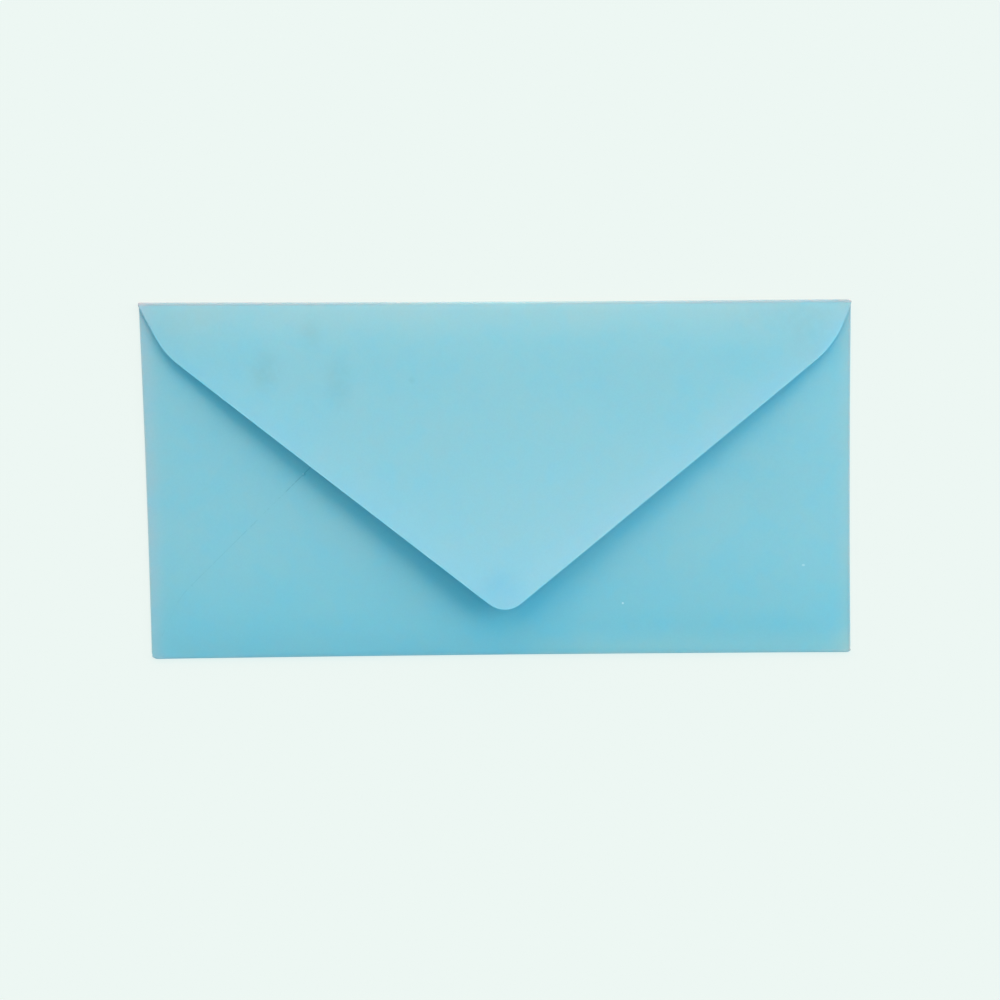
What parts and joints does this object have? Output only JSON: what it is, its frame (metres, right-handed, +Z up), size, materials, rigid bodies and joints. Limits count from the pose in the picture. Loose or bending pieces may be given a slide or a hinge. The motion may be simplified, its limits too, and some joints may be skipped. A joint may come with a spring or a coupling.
{
  "type": "paper envelope",
  "caption": "Unsealed paper envelope lying flap side up: a long blank folded and glued along slanting seams, with its deep pointed flap sprung slightly open.",
  "frame": {"origin": "under the middle of the address side, on the table", "axes": "+X along the long folds, +Y from the bottom fold towards the top flap's fold, +Z up out of the flap side"},
  "size_m": [0.22, 0.11, 0.0086],
  "materials": {
    "paper": "matt uncoated pale blue paper"
  },
  "bodies": {
    "root": {"envelope": "paper"}
  },
  "joints": []
}
